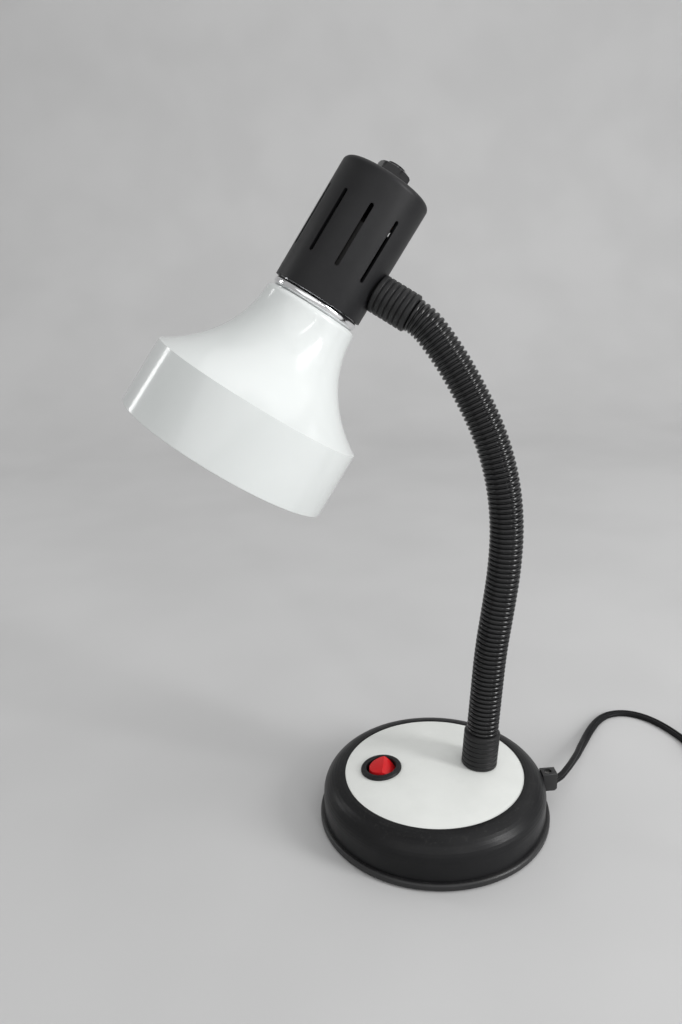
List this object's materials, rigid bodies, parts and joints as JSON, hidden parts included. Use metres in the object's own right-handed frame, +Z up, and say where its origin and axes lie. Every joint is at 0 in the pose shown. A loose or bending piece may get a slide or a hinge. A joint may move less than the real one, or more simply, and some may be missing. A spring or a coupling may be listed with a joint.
{
  "type": "desk lamp",
  "caption": "Gooseneck desk lamp with a round weighted base, rocker switch, bendable ribbed neck, slotted cylindrical head and flared shade.",
  "frame": {"origin": "centre of the underside of the base, on the table", "axes": "+Z up; +X from the middle of the base through the root of the neck and the cord clamp, with the switch on the -X side"},
  "size_m": [0.4931, 0.1639, 0.3809],
  "materials": {
    "black_cover": "satin",
    "white_disc": "satin",
    "black_flange": "satin",
    "foam": "matte",
    "cast_iron": "rough",
    "zinc": "satin",
    "block_plastic": "matte",
    "brown_wire": "satin",
    "switch_black": "gloss",
    "brass": "satin",
    "red_button": "gloss",
    "clamp_black": "satin",
    "black_cord": "satin",
    "tie_black": "satin",
    "plug_black": "satin",
    "nickel": "gloss",
    "collar_black": "matte",
    "black_paint": "satin",
    "black_nut": "gloss",
    "bakelite": "satin",
    "chrome_trim": "mirror",
    "white_paint": "gloss",
    "white_ring": "gloss",
    "frosted_glass": "frosted",
    "bulb_metal": "satin",
    "neck_sleeve": "semi-gloss",
    "spring_steel": "satin"
  },
  "bodies": {
    "base": {"base_cover": "black_cover", "top_disc": "white_disc", "base_plate": "black_flange", "foam_pad": "foam", "ballast_weight": "cast_iron", "ballast_bolt": "zinc", "base_screws": "zinc", "terminal_block": "block_plastic", "base_leads": "brown_wire", "switch_body": "switch_black", "switch_terminals": "brass", "cord_clamp": "clamp_black", "clamp_screw": "zinc", "cord_run": "black_cord", "cord_coil": "black_cord", "cord_tail": "black_cord", "cord_tie": "tie_black", "plug_body": "plug_black", "plug_pins": "nickel", "lower_collar": "collar_black", "lower_ferrule": "zinc", "lower_washer": "zinc", "lower_nut": "zinc", "sleeve_0": "neck_sleeve"},
    "rocker": {"rocker_button": "red_button"},
    "link_1": {"spiral_1": "spring_steel"},
    "neck_1": {"sleeve_1": "neck_sleeve"},
    "link_2": {"spiral_2": "spring_steel"},
    "neck_2": {"sleeve_2": "neck_sleeve"},
    "link_3": {"spiral_3": "spring_steel"},
    "neck_3": {"sleeve_3": "neck_sleeve"},
    "link_4": {"spiral_4": "spring_steel"},
    "neck_4": {"sleeve_4": "neck_sleeve"},
    "link_5": {"spiral_5": "spring_steel"},
    "neck_5": {"sleeve_5": "neck_sleeve"},
    "link_6": {"spiral_6": "spring_steel"},
    "neck_6": {"sleeve_6": "neck_sleeve"},
    "link_7": {"spiral_7": "spring_steel"},
    "neck_7": {"sleeve_7": "neck_sleeve"},
    "link_8": {"spiral_8": "spring_steel"},
    "neck_8": {"sleeve_8": "neck_sleeve"},
    "link_9": {"spiral_9": "spring_steel"},
    "neck_9": {"sleeve_9": "neck_sleeve"},
    "link_10": {"spiral_10": "spring_steel"},
    "head": {"sleeve_10": "neck_sleeve", "upper_collar": "collar_black", "upper_ferrule": "zinc", "upper_nut": "zinc", "lamp_housing": "black_paint", "top_washer": "black_nut", "top_nut": "black_nut", "holder_nipple": "zinc", "lampholder": "bakelite", "lampholder_shell": "brass", "chrome_ring": "chrome_trim", "lamp_shade": "white_paint", "shade_ring": "white_ring", "head_leads": "brown_wire", "bulb_glass": "frosted_glass", "bulb_cap": "bulb_metal"}
  },
  "joints": [
    {"name": "neck_bend", "type": "hinge", "parent": "base", "child": "link_1", "pos_m": [0.03081, 0, 0.06857], "axis": [-0.3735, -0.9272, 0.0286], "range_deg": [-6, 4]},
    {"name": "neck_sway", "type": "hinge", "parent": "link_1", "child": "neck_1", "pos_m": [0.03081, 0, 0.06857], "axis": [-0.9245, 0.3746, 0.0708], "range_deg": [-4.5, 4.5]},
    {"name": "neck_bend_2", "type": "hinge", "parent": "neck_1", "child": "link_2", "pos_m": [0.03278, 0, 0.09433], "axis": [-0.3735, -0.9272, 0.0286], "range_deg": [-6, 4]},
    {"name": "neck_sway_2", "type": "hinge", "parent": "link_2", "child": "neck_2", "pos_m": [0.03278, 0, 0.09433], "axis": [-0.9245, 0.3746, 0.0708], "range_deg": [-4.5, 4.5]},
    {"name": "neck_bend_3", "type": "hinge", "parent": "neck_2", "child": "link_3", "pos_m": [0.03548, -0.0003, 0.12001], "axis": [-0.3735, -0.9272, 0.0286], "range_deg": [-6, 4]},
    {"name": "neck_sway_3", "type": "hinge", "parent": "link_3", "child": "neck_3", "pos_m": [0.03548, -0.0003, 0.12001], "axis": [-0.9181, 0.3739, 0.1316], "range_deg": [-4.5, 4.5]},
    {"name": "neck_bend_4", "type": "hinge", "parent": "neck_3", "child": "link_4", "pos_m": [0.03881, -0.00084, 0.14562], "axis": [-0.3735, -0.9272, 0.0286], "range_deg": [-6, 4]},
    {"name": "neck_sway_4", "type": "hinge", "parent": "link_4", "child": "neck_4", "pos_m": [0.03881, -0.00084, 0.14562], "axis": [-0.9192, 0.3741, 0.1229], "range_deg": [-4.5, 4.5]},
    {"name": "neck_bend_5", "type": "hinge", "parent": "neck_4", "child": "link_5", "pos_m": [0.04099, -0.00093, 0.17135], "axis": [-0.3735, -0.9272, 0.0286], "range_deg": [-6, 4]},
    {"name": "neck_sway_5", "type": "hinge", "parent": "link_5", "child": "neck_5", "pos_m": [0.04099, -0.00093, 0.17135], "axis": [-0.9266, 0.3744, 0.036], "range_deg": [-4.5, 4.5]},
    {"name": "neck_bend_6", "type": "hinge", "parent": "neck_5", "child": "link_6", "pos_m": [0.04035, 0.00012, 0.19712], "axis": [-0.3735, -0.9272, 0.0286], "range_deg": [-6, 4]},
    {"name": "neck_sway_6", "type": "hinge", "parent": "link_6", "child": "neck_6", "pos_m": [0.04035, 0.00012, 0.19712], "axis": [-0.9229, 0.3683, -0.1121], "range_deg": [-4.5, 4.5]},
    {"name": "neck_bend_7", "type": "hinge", "parent": "neck_6", "child": "link_7", "pos_m": [0.03592, 0.00269, 0.22241], "axis": [-0.3735, -0.9272, 0.0286], "range_deg": [-6, 4]},
    {"name": "neck_sway_7", "type": "hinge", "parent": "link_7", "child": "neck_7", "pos_m": [0.03592, 0.00269, 0.22241], "axis": [-0.8936, 0.3513, -0.2795], "range_deg": [-4.5, 4.5]},
    {"name": "neck_bend_8", "type": "hinge", "parent": "neck_7", "child": "link_8", "pos_m": [0.02755, 0.00681, 0.24646], "axis": [-0.3735, -0.9272, 0.0286], "range_deg": [-6, 4]},
    {"name": "neck_sway_8", "type": "hinge", "parent": "link_8", "child": "neck_8", "pos_m": [0.02755, 0.00681, 0.24646], "axis": [-0.8381, 0.3241, -0.4388], "range_deg": [-4.5, 4.5]},
    {"name": "neck_bend_9", "type": "hinge", "parent": "neck_8", "child": "link_9", "pos_m": [0.01638, 0.012, 0.26916], "axis": [-0.3735, -0.9272, 0.0286], "range_deg": [-6, 4]},
    {"name": "neck_sway_9", "type": "hinge", "parent": "link_9", "child": "neck_9", "pos_m": [0.01638, 0.012, 0.26916], "axis": [-0.8019, 0.3072, -0.5124], "range_deg": [-4.5, 4.5]},
    {"name": "neck_bend_10", "type": "hinge", "parent": "neck_9", "child": "link_10", "pos_m": [0.00298, 0.01806, 0.29037], "axis": [-0.3735, -0.9272, 0.0286], "range_deg": [-6, 4]},
    {"name": "neck_sway_10", "type": "hinge", "parent": "link_10", "child": "head", "pos_m": [0.00298, 0.01806, 0.29037], "axis": [-0.7322, 0.2757, -0.6228], "range_deg": [-4.5, 4.5]},
    {"name": "rocker_tilt", "type": "hinge", "parent": "base", "child": "rocker", "pos_m": [-0.03159, 0.00254, 0.02811], "axis": [0.2244, 0.9744, 0.0128], "range_deg": [-26, 0]}
  ]
}
